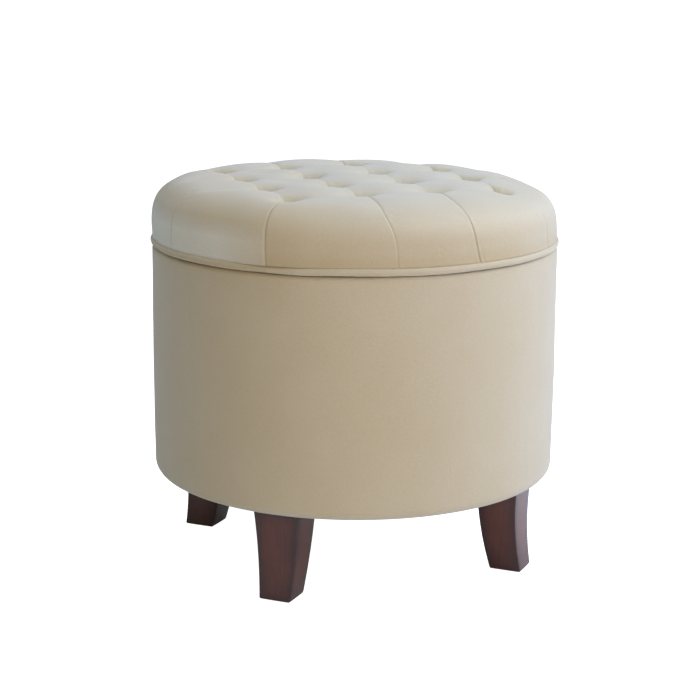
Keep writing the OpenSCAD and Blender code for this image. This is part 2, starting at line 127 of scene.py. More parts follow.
def makeVelvet(s):
    # the mark read here runs from -0.5, pile laid down and painted shade, to 1, pile brushed up and painted
    # light
    material, tree, coords = startFinish("velvetShortPile", {
        "Roughness": 0.9, "Specular IOR Level": 0.2, "Sheen Weight": s["sheen"],
        "Sheen Roughness": s["sheenRoughness"], "Sheen Tint": toLinear(s["sheenTint"])})
    marks = addNode(tree, "ShaderNodeTexNoise", {
        "Vector": coords, "Scale": 1 / s["markSize"], "Detail": 4.0, "Roughness": 0.55,
        "Distortion": 0.5}).outputs[0]
    crush = addNode(tree, "ShaderNodeTexNoise", {
        "Vector": coords, "Scale": 1 / s["crushSize"], "Detail": 3.0, "Roughness": 0.6}).outputs[0]
    grain = addNode(tree, "ShaderNodeTexNoise", {
        "Vector": coords, "Scale": 1 / s["grainSize"], "Detail": 2.0, "Roughness": 0.7}).outputs[0]
    marks = addNode(tree, "ShaderNodeMapRange", {
        "Value": marks, "From Min": 0.32, "From Max": 0.68}).outputs[0]
    faint = addNode(tree, "ShaderNodeMapRange", {
        "Value": marks, "To Min": -s["marks"] / 2, "To Max": s["marks"] / 2}).outputs[0]
    # on the lid this mark holds painted light and shade as well as the way the pile lies
    napLightShade = addNode(tree, "ShaderNodeAttribute", attribute_name="napLightShade").outputs["Fac"]
    pileLightShade = addNode(tree, "ShaderNodeMath", {0: napLightShade, 1: faint}, operation="ADD").outputs[0]
    pileLightShade = addNode(tree, "ShaderNodeMapRange", {"Value": pileLightShade, "From Min": -0.5, "From Max": 1.0}).outputs[0]
    # the darker colour also stands for painted shade, the paler one for painted light
    colour = addNode(tree, "ShaderNodeMix", {
        0: pileLightShade, 6: toLinear(s["laidDownAndShade"]), 7: toLinear(s["brushedUpAndLit"])}, data_type="RGBA").outputs[2]
    speckle = addNode(tree, "ShaderNodeMapRange", {
        "Value": grain, "From Min": 0.25, "From Max": 0.75, "To Min": 0.93, "To Max": 1.07}).outputs[0]
    colour = addNode(tree, "ShaderNodeMix", {0: 1.0, 6: colour, 7: speckle}, data_type="RGBA",
                     blend_type="MULTIPLY").outputs[2]
    bump = addNode(tree, "ShaderNodeBump", {"Height": crush, "Distance": s["crushHeight"]}).outputs[0]
    bump = addNode(tree, "ShaderNodeBump", {
        "Height": grain, "Distance": s["grainHeight"], "Normal": bump}).outputs[0]
    return endFinish(material, {"Base Color": colour, "Normal": bump})


# Polyurethane foam, cut from a block: matt, pale yellow, pitted with open cells about 1.5 mm across
def makeFoam():
    material, tree, coords = startFinish("foamPolyurethane", {"Roughness": 1.0, "Specular IOR Level": 0.1})
    blotch = addNode(tree, "ShaderNodeTexNoise", {"Vector": coords, "Scale": 1 / (60 * mm)}).outputs[0]
    colour = addNode(tree, "ShaderNodeMix", {
        0: blotch, 6: toLinear("#E9DFB8"), 7: toLinear("#F4EED6")}, data_type="RGBA").outputs[2]
    cells = addNode(tree, "ShaderNodeTexVoronoi", {
        "Vector": coords, "Scale": 1 / (1.5 * mm)}).outputs["Distance"]
    bump = addNode(tree, "ShaderNodeBump", {"Height": cells, "Distance": 0.4 * mm}).outputs[0]
    return endFinish(material, {"Base Color": colour, "Normal": bump})


# Spunbond polypropylene: a thin non-woven cloth, dull, with rows of small welded dimples and stray fibres
def makeSpunbond(name, dark, light, dimple):
    material, tree, coords = startFinish(name, {"Roughness": 0.85, "Specular IOR Level": 0.3})
    fibre = addNode(tree, "ShaderNodeTexNoise", {
        "Vector": coords, "Scale": 1 / (5 * mm), "Detail": 8.0, "Roughness": 0.8,
        "Distortion": 2.0}).outputs[0]
    spread = addNode(tree, "ShaderNodeMapRange", {
        "Value": fibre, "From Min": 0.35, "From Max": 0.65}).outputs[0]
    colour = addNode(tree, "ShaderNodeMix", {
        0: spread, 6: toLinear(dark), 7: toLinear(light)}, data_type="RGBA").outputs[2]
    dots = addNode(tree, "ShaderNodeTexVoronoi", {
        "Vector": coords, "Scale": 1 / dimple, "Randomness": 0.15}).outputs["Distance"]
    bump = addNode(tree, "ShaderNodeBump", {"Height": dots, "Distance": 0.3 * mm}).outputs[0]
    bump = addNode(tree, "ShaderNodeBump", {"Height": fibre, "Distance": 0.3 * mm, "Normal": bump}).outputs[0]
    return endFinish(material, {"Base Color": colour, "Normal": bump})


# Poplar plywood, sanded: long pale grain on the faces; the plies show as thin bands where an edge is cut.
# across is "Z" for a flat board and "radius" for one bent round the drum
def makePlywood(name, across, ply):
    material, tree, coords = startFinish(name, {"Roughness": 0.62, "Specular IOR Level": 0.35})
    x, y, depth = addNode(tree, "ShaderNodeSeparateXYZ", {0: coords}).outputs
    run = (0.06, 1.0, 1.0)
    if across == "radius":
        flat = addNode(tree, "ShaderNodeCombineXYZ", {0: x, 1: y}).outputs[0]
        depth = addNode(tree, "ShaderNodeVectorMath", {0: flat}, operation="LENGTH").outputs["Value"]
        run = (1.0, 1.0, 0.06)
    along = addNode(tree, "ShaderNodeMapping", {"Vector": coords, "Scale": run}).outputs[0]
    grain = addNode(tree, "ShaderNodeTexNoise", {
        "Vector": along, "Scale": 1 / (4 * mm), "Detail": 6.0, "Roughness": 0.65,
        "Distortion": 0.4}).outputs[0]
    layer = addNode(tree, "ShaderNodeMath", {0: depth, 1: 1 / (2 * ply)}, operation="MULTIPLY").outputs[0]
    layer = addNode(tree, "ShaderNodeMath", {0: layer}, operation="FRACT").outputs[0]
    band = addNode(tree, "ShaderNodeMath", {0: layer, 1: 0.5}, operation="GREATER_THAN").outputs[0]
    face = addNode(tree, "ShaderNodeMix", {
        0: grain, 6: toLinear("#B98F5E"), 7: toLinear("#E3C79B")}, data_type="RGBA").outputs[2]
    darker = addNode(tree, "ShaderNodeMix", {0: 1.0, 6: face, 7: toLinear("#CDBBA6")}, data_type="RGBA",
                     blend_type="MULTIPLY").outputs[2]
    colour = addNode(tree, "ShaderNodeMix", {0: band, 6: face, 7: darker}, data_type="RGBA").outputs[2]
    bump = addNode(tree, "ShaderNodeBump", {"Height": grain, "Distance": 0.15 * mm}).outputs[0]
    return endFinish(material, {"Base Color": colour, "Normal": bump})


# Hardboard: pressed wood fibre, dark brown and smooth with a faint felted fleck
def makeHardboard():
    material, tree, coords = startFinish("hardboardPressed", {"Roughness": 0.55})
    fleck = addNode(tree, "ShaderNodeTexNoise", {
        "Vector": coords, "Scale": 1 / (2.5 * mm), "Detail": 6.0, "Distortion": 3.0}).outputs[0]
    colour = addNode(tree, "ShaderNodeMix", {
        0: fleck, 6: toLinear("#5A3F28"), 7: toLinear("#8C6B48")}, data_type="RGBA").outputs[2]
    bump = addNode(tree, "ShaderNodeBump", {"Height": fleck, "Distance": 0.08 * mm}).outputs[0]
    return endFinish(material, {"Base Color": colour, "Normal": bump})


# Rubberwood, stained dark cherry and sprayed with satin lacquer: fine straight grain down the leg,
# short dark pores, lighter across the middle of each face and darker towards the corners and the leg's ends,
# and a smooth clear coat for the highlights
def makeStainedWood():
    material, tree, coords = startFinish("rubberwoodStainedLacquered", {
        "Roughness": 0.5, "Specular IOR Level": 0.15, "Coat Weight": 0.7, "Coat Roughness": 0.12})
    along = addNode(tree, "ShaderNodeMapping", {"Vector": coords, "Scale": (1.0, 1.0, 0.045)}).outputs[0]
    grain = addNode(tree, "ShaderNodeTexNoise", {
        "Vector": along, "Scale": 1 / (3.2 * mm), "Detail": 5.0, "Roughness": 0.6,
        "Distortion": 0.5}).outputs[0]
    spread = addNode(tree, "ShaderNodeMapRange", {
        "Value": grain, "From Min": 0.3, "From Max": 0.7}).outputs[0]
    colour = addNode(tree, "ShaderNodeMix", {
        0: spread, 6: toLinear("#4A2412"), 7: toLinear("#582B18")}, data_type="RGBA").outputs[2]
    cloud = addNode(tree, "ShaderNodeTexNoise", {"Vector": coords, "Scale": 1 / (30 * mm)}).outputs[0]
    tone = addNode(tree, "ShaderNodeMapRange", {
        "Value": cloud, "From Min": 0.3, "From Max": 0.7, "To Min": 0.88, "To Max": 1.12}).outputs[0]
    thin = addNode(tree, "ShaderNodeMapping", {"Vector": coords, "Scale": (1.0, 1.0, 0.12)}).outputs[0]
    pores = addNode(tree, "ShaderNodeTexNoise", {
        "Vector": thin, "Scale": 1 / (0.7 * mm), "Detail": 1.0}).outputs[0]
    dark = addNode(tree, "ShaderNodeMapRange", {
        "Value": pores, "From Min": 0.62, "From Max": 0.72, "To Min": 1.0, "To Max": 0.82}).outputs[0]
    faceMiddle = addNode(tree, "ShaderNodeAttribute", attribute_name="faceMiddle").outputs["Fac"]
    middleShare = addNode(tree, "ShaderNodeMapRange", {"Value": faceMiddle, "To Min": 0.4, "To Max": 1.07}).outputs[0]
    for shade in (tone, dark, middleShare):
        colour = addNode(tree, "ShaderNodeMix", {0: 1.0, 6: colour, 7: shade}, data_type="RGBA",
                         blend_type="MULTIPLY").outputs[2]
    bump = addNode(tree, "ShaderNodeBump", {"Height": grain, "Distance": 0.06 * mm}).outputs[0]
    return endFinish(material, {"Base Color": colour, "Normal": bump})


# Steel wire and screws, bright zinc plated: a cool metal with a faint milky unevenness
def makeZinc():
    material, tree, coords = startFinish("steelZincPlated", {"Metallic": 1.0, "Roughness": 0.35})
    cloud = addNode(tree, "ShaderNodeTexNoise", {
        "Vector": coords, "Scale": 1 / (3 * mm), "Detail": 4.0}).outputs[0]
    colour = addNode(tree, "ShaderNodeMix", {
        0: cloud, 6: toLinear("#A9ABAA"), 7: toLinear("#C9CCCB")}, data_type="RGBA").outputs[2]
    rough = addNode(tree, "ShaderNodeMapRange", {"Value": cloud, "To Min": 0.26, "To Max": 0.44}).outputs[0]
    return endFinish(material, {"Base Color": colour, "Roughness": rough})


# Moulded nylon: a hard waxy plastic with a very fine moulded grain
def makeNylon(name, dark, light):
    material, tree, coords = startFinish(name, {"Roughness": 0.45, "IOR": 1.53})
    skin = addNode(tree, "ShaderNodeTexNoise", {
        "Vector": coords, "Scale": 1 / (0.8 * mm), "Detail": 3.0}).outputs[0]
    colour = addNode(tree, "ShaderNodeMix", {
        0: skin, 6: toLinear(dark), 7: toLinear(light)}, data_type="RGBA").outputs[2]
    bump = addNode(tree, "ShaderNodeBump", {"Height": skin, "Distance": 0.05 * mm}).outputs[0]
    return endFinish(material, {"Base Color": colour, "Normal": bump})


# Twisted cotton: off-white strands with painted shade in the lines of twist between them, drawn several times
# as coarse as real, so that they show
def makeTwine(name, spacing):
    # a diagonal wave's crests lie 0.36 / scale apart
    material, tree, coords = startFinish(name, {"Roughness": 0.95, "Sheen Weight": 0.3})
    sockets = {"Vector": coords, "Scale": 0.36 / spacing, "Distortion": 1.5}
    lines = addNode(tree, "ShaderNodeTexWave", sockets, bands_direction="DIAGONAL").outputs["Fac"]
    # the darker colour in the grooves between strands is painted shade
    colour = addNode(tree, "ShaderNodeMix", {
        0: lines, 6: toLinear("#B9AE93"), 7: toLinear("#EFE8D4")}, data_type="RGBA").outputs[2]
    bump = addNode(tree, "ShaderNodeBump", {"Height": lines, "Distance": 0.3 * mm}).outputs[0]
    return endFinish(material, {"Base Color": colour, "Normal": bump})


velvet = makeVelvet(velvetSettings)
foam = makeFoam()
liningCloth = makeSpunbond("spunbondLining", "#2B2B2B", "#3D3D3C", 2.2 * mm)
dustCloth = makeSpunbond("spunbondDustCover", "#141414", "#242424", 1.8 * mm)
plywoodFlat = makePlywood("plywoodPoplarFlat", "Z", 1.5 * mm)
plywoodBent = makePlywood("plywoodPoplarBent", "radius", 1.0 * mm)
hardboard = makeHardboard()
stainedWood = makeStainedWood()
zinc = makeZinc()
blackNylon = makeNylon("nylonBlackMoulded", "#191919", "#242424")
whiteNylon = makeNylon("nylonWhiteMoulded", "#D2D0C8", "#E6E4DC")
cottonTwine = makeTwine("cottonTwineTwisted", 8.64 * mm)

finishes = {
    plywoodFlat: ("base_board", "lid_board", "leg_dowels", "locating_ring"),
    plywoodBent: ("inner_wall_ply", "outer_wall_ply"), hardboard: ("floor_panel",),
    zinc: ("wall_screws", "ring_screws", "leg_bolts", "tee_nuts", "glide_nails"),
    whiteNylon: ("tuft_anchors",), blackNylon: ("leg_glides",), cottonTwine: ("tuft_twines", "welt_cord"),
}
for finish, nodes in finishes.items():
    for node in nodes:
        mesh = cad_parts[node].data
        mesh.materials.clear()
        mesh.materials.append(finish)
print("finishes made and put on the packed nodes")


def hill(distance, width):
    # 1 at no distance, falling away smoothly over the width
    return np.exp(-(distance / width) ** 2)


def ramp(value):
    # the value held between 0 and 1
    return np.clip(value, 0, 1)


def facing(angle):
    # steps of length 1 in the plane, each pointing at its angle
    return np.stack([np.cos(angle), np.sin(angle)], -1)


def lengthOf(vectors):
    return np.linalg.norm(vectors, axis=-1)


def bearingOf(points):
    # degrees from +X, anticlockwise seen from above
    return np.degrees(np.arctan2(points[..., 1], points[..., 0]))


def toPoints(r, z, angle):
    # radius, height and angle turned to x, y and z
    return np.stack([r * np.cos(angle), r * np.sin(angle), z], -1)


def spun(x, y, z, angle):
    # points turned by an angle round the upright axis
    c, s = np.cos(angle), np.sin(angle)
    return np.stack([c * x - s * y, s * x + c * y, np.broadcast_to(z, np.broadcast(c, x).shape)], -1)


def swell(points, size, seed):
    # sum of plane waves in random directions, about size long each: smooth unevenness, mostly within -1 to 1
    waves = 14
    random = np.random.default_rng(seed)
    way = random.normal(size=(waves, points.shape[-1]))
    way /= np.linalg.norm(way, axis=1, keepdims=True)
    way *= (random.uniform(0.6, 1.4, waves) / size)[:, None]
    phase = random.uniform(0, 2 * np.pi, waves)
    return np.sin(2 * np.pi * points @ way.T + phase).sum(-1) / math.sqrt(2 * waves)


def gridFaces(rows, columns, wrapRows=False, wrapColumns=True):
    # four-sided faces of a grid of points; rows then columns turn anticlockwise seen from outside
    i = np.arange(rows if wrapRows else rows - 1)[:, None]
    j = np.arange(columns if wrapColumns else columns - 1)[None, :]
    iNext, jNext = (i + 1) % rows, (j + 1) % columns
    corners = [i * columns + j, iNext * columns + j, iNext * columns + jNext, i * columns + jNext]
    return np.stack(corners, -1).reshape(-1, 4)


def ringFaces(first, second):
    # four-sided faces between two closed rings of point numbers
    return np.stack([first, second, np.roll(second, -1, -1), np.roll(first, -1, -1)], -1).reshape(-1, 4)


def addMesh(name, points, faces):
    # faces is a list of index arrays, each with its own number of corners
    mesh = bpy.data.meshes.new(name)
    mesh.from_pydata(points.tolist(), [], [face for group in faces for face in np.asarray(group).tolist()])
    return addObject(name, mesh)


def addPiece(name, points, faces, finish, body, node):
    piece = addMesh(name, points, faces)
    mesh = piece.data
    mesh.polygons.foreach_set("use_smooth", np.full(len(mesh.polygons), True))
    mesh.materials.append(finish)
    mesh.update()
    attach(piece, body)
    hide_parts(node)
    return piece


def addTurned(name, r, z, angle, finish, body, node):
    # a piece from a closed outline turned round the axis
    points = toPoints(r, z, angle).reshape(-1, 3)
    return addPiece(name, points, [gridFaces(*r.shape, wrapRows=True)], finish, body, node)


def paint(piece, mark, values):
    piece.data.attributes.new(mark, "FLOAT", "POINT").data.foreach_set("value", values.astype(np.float32))


def arc(r, z, radius, first, last, steps=8):
    # points on part of a circle in the radius-height plane, angles in degrees
    return [r, z] + radius * facing(np.radians(np.linspace(first, last, steps + 1)))


def densify(path, spacing):
    # the same broken line with extra points, so that none lie further apart than spacing
    path = np.concatenate([np.atleast_2d(p) for p in path])
    length = np.concatenate([[0], np.cumsum(lengthOf(np.diff(path, axis=0)))])
    keep = np.concatenate([[True], np.diff(length) > 1e-6])
    path, length = path[keep], length[keep]
    counts = np.maximum(1, np.ceil(np.diff(length) / spacing).astype(int))
    spans = [np.linspace(a, b, n, endpoint=False) for a, b, n in zip(length[:-1], length[1:], counts)]
    at = np.concatenate(spans + [length[-1:]])
    return np.stack([np.interp(at, length, path[:, k]) for k in (0, 1)], -1)


def clothOutline(path, thickness):
    # the path is the cloth's outer face; its inner face is the path moved along its normal by the thickness
    along = np.gradient(path, axis=0)
    along /= np.linalg.norm(along, axis=1, keepdims=True)
    inner = path - thickness * np.stack([-along[:, 1], along[:, 0]], -1)
    return np.concatenate([path, inner[::-1]])


def anglesAround(steps, reach=0.06):
    # even steps round the axis, with 48 more crowded close to the seam at the back
    near = reach * np.sinh(np.linspace(-3, 3, 48)) / math.sinh(3)
    every = np.concatenate([np.linspace(0, 2 * np.pi, steps, endpoint=False), backSeam + near])
    return np.unique(np.round(every % (2 * np.pi), 5))


def turned(outline, angles):
    # an outline in radius and height carried round the upright axis: arrays of radius, height and angle
    parts = outline[:, :1], outline[:, 1:], angles[None]
    return tuple(np.broadcast_to(part, (len(outline), len(angles))).copy() for part in parts)


drumLow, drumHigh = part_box("wall_cover")
liningLow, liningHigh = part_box("storage_lining")
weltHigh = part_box("welt_cover")[1]
cushionLow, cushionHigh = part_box("lid_cover")
drumRadius = drumHigh.x
rimHeight = drumHigh.z
backSeam = math.radians(90)   # the seams are at the back, +Y


# Drum cover: velvet pulled over foam, down inside the rim, out over it, down the wall and under the base
drumSettings = {
    "thickness": 1.2 * mm, "edge": 12 * mm, "rim": 6 * mm, "rimInner": 2 * mm, "turnDown": 25 * mm,
    "hem": 22 * mm, "bulge": 0.9 * mm, "uneven": 0.35 * mm, "unevenSize": 160 * mm, "ripple": 0.10 * mm,
    "rippleSize": 45 * mm, "rimWave": 0.35 * mm, "rimWaveReach": 20 * mm, "seamDepth": 1.5 * mm,
    "seamWidth": 1.3 * mm, "seamRise": 0.5 * mm, "seamReach": 9 * mm, "gather": 0.35 * mm,
    "gatherStart": 8 * mm, "gatherReach": 40 * mm,
}


def makeDrumCover(s):
    # an outline turned round the axis, its wall moved out by the foam's bulge and unevenness, and at the seam
    # by a narrow valley on a low ridge
    turnIn = liningHigh.x + clearance
    flat = drumRadius - s["edge"]
    path = densify([
        [[turnIn, rimHeight - s["turnDown"]]],
        arc(turnIn + s["rimInner"], rimHeight - s["rimInner"], s["rimInner"], 180, 90, 5),
        arc(drumRadius - s["rim"], rimHeight - s["rim"], s["rim"], 90, 0, 10),
        arc(flat, drumLow.z + s["edge"], s["edge"], 0, -90, 14),
        [[flat - s["hem"], drumLow.z]]], 6 * mm)
    r, z, angle = turned(clothOutline(path, s["thickness"]), anglesAround(300))
    place = toPoints(r, z, angle)
    wall = ramp((r - flat) / s["edge"]) ** 2   # 1 on the wall, 0 under the base and inside the rim
    height = ramp((z - drumLow.z) / (rimHeight - drumLow.z))
    aside = r * (angle - backSeam)
    out = s["bulge"] * np.sin(np.pi * height)   # the foam stands fullest halfway up
    out += s["uneven"] * swell(place, s["unevenSize"], 3) + s["ripple"] * swell(place, s["rippleSize"], 4)
    out += s["seamRise"] * hill(aside, s["seamReach"]) - s["seamDepth"] * hill(aside, s["seamWidth"])
    r += wall * out
    # the rim dips a little here and there, and small gathers lie where the velvet turns over it
    inside = ramp((drumRadius - s["rim"] - r) / s["gatherStart"])
    dip = swell(facing(angle), 0.5, 6) - 0.7
    z += s["rimWave"] * dip * ramp(1 - (rimHeight - z) / s["rimWaveReach"])
    gathers = s["gather"] * np.abs(swell(facing(angle), 0.035, 5))
    r -= gathers * inside * ramp((z - drumLow.z) / s["gatherReach"])
    cover = addTurned("drumCover", r, z, angle, velvet, "base", "wall_cover")


# Foam wrapped round the wall under that velvet, butted together at the back
padSettings = {
    "seamDepth": 1.2 * mm, "seamWidth": 1.5 * mm, "uneven": 0.15 * mm, "unevenSize": 50 * mm,
    "skin": 1.3 * mm, "step": 2 * mm, "firm": 4 * mm,
}


def makeWallPad(s):
    # an outline that starts at the rim's inner edge, runs over the wall and under its lower edge, and back up
    # the wood; its outer face moves in at the seam and by its unevenness
    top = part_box("wall_padding")[1].z
    plyLow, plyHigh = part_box("outer_wall_ply")
    wood, under, step = plyHigh.x + clearance, plyLow.z - clearance, top - s["step"]
    rim, edge = drumSettings["rim"], drumSettings["edge"]
    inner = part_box("base_board")[1].x + drumSettings["rimInner"]
    outline = densify([
        [[inner, step], [inner, top]], arc(drumRadius - rim, rimHeight - rim, rim - s["skin"], 90, 0),
        arc(drumRadius - edge, drumLow.z + edge, edge - s["skin"], 0, -90, 12),
        [[drumRadius - edge, under], [wood, under], [wood, step], [inner, step]]], 8 * mm)[:-1]
    r, z, angle = turned(outline, anglesAround(180))
    dent = s["seamDepth"] * hill(r * (angle - backSeam), s["seamWidth"])
    dent += s["uneven"] * np.abs(swell(toPoints(r, z, angle), s["unevenSize"], 8))
    r -= ramp((r - wood) / s["firm"]) * dent
    pad = addTurned("wallFoam", r, z, angle, foam, "base", "wall_padding")


makeDrumCover(drumSettings)
makeWallPad(padSettings)
print("drum covered")

# Lining of the storage space: card-backed cloth with a seam at the back and a folded top edge
liningSettings = {
    "ripple": 0.35 * mm, "rippleSize": 0.12, "rippleStart": 4 * mm, "rippleReach": 30 * mm,
    "fold": 0.5 * mm, "foldDepth": 12 * mm, "seam": 0.6 * mm, "seamWidth": 5 * mm, "seamTurn": 0.02,
}


def makeStorageLining(s):
    # an outline turned round the axis, its inner face moved in by ripples, the folded edge and the seam
    inner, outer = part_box("floor_panel")[1].x + clearance, liningHigh.x
    low, high = liningLow.z, liningHigh.z
    fold = high - s["foldDepth"]
    outline = densify([[[inner, low], [inner, fold], [inner, fold + 1 * mm], [inner, high - 0.5 * mm],
                        [inner + 0.4 * mm, high], [outer, high], [outer, low]]], 7 * mm)
    r, z, angle = turned(outline, anglesAround(200))
    isInner = r < inner + 0.3 * mm
    free = ramp((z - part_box("floor_cloth")[1].z - s["rippleStart"]) / s["rippleReach"])
    moved = s["ripple"] * (1 + swell(toPoints(1, z, angle), s["rippleSize"], 9))
    moved += s["fold"] * (z > fold + 0.5 * mm)
    moved += s["seam"] * np.exp(-(inner * (angle - backSeam - s["seamTurn"]) / s["seamWidth"]) ** 6)
    r -= isInner * free * moved
    lining = addTurned("storageLining", r, z, angle, liningCloth, "base", "storage_lining")


makeStorageLining(liningSettings)


def makeClothDisc(name, node, finish, body, slot, wave, held, carrier):
    # a round cloth: rows out from the axis on top, over the rounded edge and back underneath, with a fan of
    # faces round the axis on each side; wave moves both faces
    low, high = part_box(node)
    radius, thick, columns = high.x, high.z - low.z, 160
    rounding = min(thick / 2, 0.4 * mm)
    start, edge = 3 * mm, radius - rounding
    outline = densify([[[start, high.z]], arc(edge, high.z - rounding, rounding, 90, 0, 3),
                       arc(edge, low.z + rounding, rounding, 0, -90, 3), [[start, low.z]]], 4 * mm)
    r, z, angle = turned(outline, np.linspace(0, 2 * np.pi, columns, endpoint=False))
    z += wave(facing(angle) * r[..., None], r / radius)
    middles = [[0, 0, z[0].mean()], [0, 0, z[-1].mean()]]
    points = np.concatenate([toPoints(r, z, angle).reshape(-1, 3), middles])
    top, last = np.arange(columns), r.size - columns + np.arange(columns)
    fans = [np.stack([np.full(columns, r.size), top, np.roll(top, -1)], -1),
            np.stack([np.full(columns, r.size + 1), np.roll(last, -1), last], -1)]
    piece = addPiece(name, points, [gridFaces(*r.shape), *fans], finish, body, node)


legSettings = {
    "topOut": 220.7 * mm, "topDepth": 49.4 * mm, "topWidth": 56.2 * mm, "footDepth": 38.2 * mm,
    "footWidth": 38 * mm, "flare": 4.6 * mm, "bow": 4 * mm, "corner": 1.5 * mm, "crown": 0.25 * mm,
    "chamfer": 0.7 * mm, "endReach": 14 * mm,
}
legAngles = {"leg_front_left": 225, "leg_front_right": 315, "leg_back_right": 45, "leg_back_left": 135}
dustSettings = {"sag": 2.2 * mm, "uneven": 0.5 * mm, "legSpare": 4 * mm, "legFade": 25 * mm}


def legReach(flat):
    # 1 over a leg's top, fading to 0 a little outside it
    s, w = legSettings, dustSettings
    turn = np.radians(np.abs(bearingOf(flat) % 90 - 45))
    r = lengthOf(flat)
    across, inward = r * np.sin(turn), r * np.cos(turn)
    beyond = np.maximum(inward - s["topOut"], s["topOut"] - s["topDepth"] - inward)
    outside = np.maximum(across - s["topWidth"] / 2, beyond)
    return ramp(1 - (outside - w["legSpare"]) / w["legFade"])


def dustWave(flat, share):
    # hangs slightly between the legs, unevenly, and lies flat at the staples round the edge
    s = dustSettings
    sag = s["sag"] * (1 - share ** 2) ** 1.5
    sag += s["uneven"] * (1 + swell(flat, 90 * mm, 11)) * (1 - share ** 6)
    return -sag * (1 - legReach(flat))


floorSettings = {"uneven": 0.15 * mm}


def floorWave(flat, share):
    # glued down flat, with the faint unevenness of the panel under it
    return floorSettings["uneven"] * (1 + swell(flat, 70 * mm, 12)) * (1 - share ** 8)


underSettings = {"sag": 0.9 * mm, "uneven": 0.4 * mm, "fadeFrom": 200 * mm, "fadeOver": 60 * mm}


def underWave(flat, _):
    # held under the lid board by the locating ring and the staples, so it hangs a little only inside them
    s = underSettings
    inside = ramp((s["fadeFrom"] - lengthOf(flat)) / s["fadeOver"]) ** 1.5
    return -(s["sag"] + s["uneven"] * swell(flat, 80 * mm, 13)) * inside


for disc in (
    ("dustCover", "dust_cover", dustCloth, "base", "dust_cloth", dustWave, "stretched", "base_board"),
    ("floorCloth", "floor_cloth", liningCloth, "base", "lining_cloth", floorWave, "laid", "floor_panel"),
    ("lidLining", "lid_lining", liningCloth, "lid", "lining_cloth", underWave, "stretched", "lid_board"),
):
    makeClothDisc(*disc)
print("linings laid")


# Legs: sabre legs of square section, the feet flared outwards
def makeLeg(name, turn, s):
    # a rounded rectangle carried from the drum down to the foot: both faces bow inwards and the sides taper.
    # Each ring row holds the side and the corner's bend, radially and sideways
    low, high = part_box(name)
    top, foot = high.z, low.z
    chamfer = foot + np.array([2.4, 1.4, 0.8, 0.4, 0.1, 0.0]) * mm
    levels = np.concatenate([np.linspace(top, foot + 4 * mm, 34), chamfer])
    shrink = s["chamfer"] * np.concatenate([np.zeros(34), [0, 0.05, 0.2, 0.45, 0.8, 1.0]])
    share = ramp(1 - levels / top)
    bow = 4 * s["bow"] * share * (1 - share)
    outer = s["topOut"] + s["flare"] * share - bow - shrink
    inner = s["topOut"] - s["topDepth"] + (s["flare"] + s["topDepth"] - s["footDepth"]) * share - bow + shrink
    half = (s["footWidth"] + (s["topWidth"] - s["footWidth"]) * levels / top) / 2 - shrink
    signs = np.repeat([[[1, -1]], [[1, 1]], [[-1, 1]], [[-1, -1]]], 6, axis=1)
    bends = facing(np.radians(np.linspace(-90, 0, 6) + 90 * np.arange(4)[:, None])) - signs
    corners = np.concatenate([signs, bends], -1)
    spans = np.linspace(0, 1, 7)[1:-1]
    last, first = corners[:, -1:], np.roll(corners, -1, axis=0)[:, :1]
    ring = np.concatenate([corners, last + (first - last) * spans[:, None]], 1).reshape(-1, 4)
    crown = np.tile(np.concatenate([np.zeros(6), 4 * spans * (1 - spans)]), 4)   # each face is slightly full
    normal = ring[:, :2] + ring[:, 2:]
    out = s["corner"] * ring[:, 2:] + s["crown"] * crown[:, None] * normal
    x = ((outer + inner) / 2)[:, None] + ((outer - inner) / 2)[:, None] * ring[:, 0] + out[:, 0]
    y = half[:, None] * ring[:, 1] + out[:, 1]
    rows, columns = x.shape
    end = np.arange(columns)
    caps = [end[None], (x.size - columns + end)[None, ::-1]]
    leg = addPiece("leg" + name[3:].title().replace("_", ""),
                   spun(x, y, levels[:, None], math.radians(turn)).reshape(-1, 3),
                   [gridFaces(rows, columns), *caps], stainedWood, "base", name)
    # the colour darkens towards the corners and towards both ends of the leg
    ends = np.minimum(ramp((levels - foot) / (3 * s["endReach"])), ramp((top - levels) / s["endReach"]))
    paint(leg, "faceMiddle", np.outer(ends ** 0.5, crown ** 0.7).ravel())


for name, turn in legAngles.items():
    makeLeg(name, turn, legSettings)
print("legs shaped")


# Staples: flat wire with rounded bends, its crown on the cloth and its ends in the wood
stapleSettings = {
    "crown": 10 * mm, "wide": 1.2 * mm, "thick": 0.6 * mm, "bend": 0.9 * mm, "leg": 1.6 * mm,
    "fromHem": 3.4 * mm, "insideRing": 17.4 * mm,
}


def makeStaples(name, node, body, angles, radius, s):
    # one flat oval section carried along a path of leg, bend, crown, bend, leg, then turned to each angle
    half, centre = s["crown"] / 2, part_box(node)[1].z - s["thick"] / 2
    bend = np.radians(np.linspace(90, 0, 4))
    left = [-half, centre] + s["bend"] * (1 - np.stack([np.sin(bend), np.cos(bend)], -1))
    tip = centre + s["leg"]
    path = np.concatenate([[[-half, tip]], left, left[::-1] * [-1, 1], [[half, tip]]])
    along = np.gradient(path, axis=0)
    along /= np.linalg.norm(along, axis=1, keepdims=True)
    side = np.radians(np.arange(8) * 45 + 22.5)
    across = (s["wide"] / 2 / math.cos(math.radians(22.5))) * np.cos(side)
    through = (s["thick"] / 2 / math.sin(math.radians(67.5))) * np.sin(side)
    x = radius + np.broadcast_to(across, (len(path), 8))
    y = path[:, :1] - along[:, 1:] * through
    z = path[:, 1:] + along[:, :1] * through
    points = spun(x, y, z, angles[:, None, None]).reshape(-1, 3)
    one = [gridFaces(*x.shape), np.arange(8)[None], (x.size - 8 + np.arange(8))[None, ::-1]]
    starts = (np.arange(len(angles)) * x.size)[:, None, None]
    faces = [(group[None] + starts).reshape(-1, group.shape[-1]) for group in one]
    addPiece(name, points, faces, zinc, body, node)


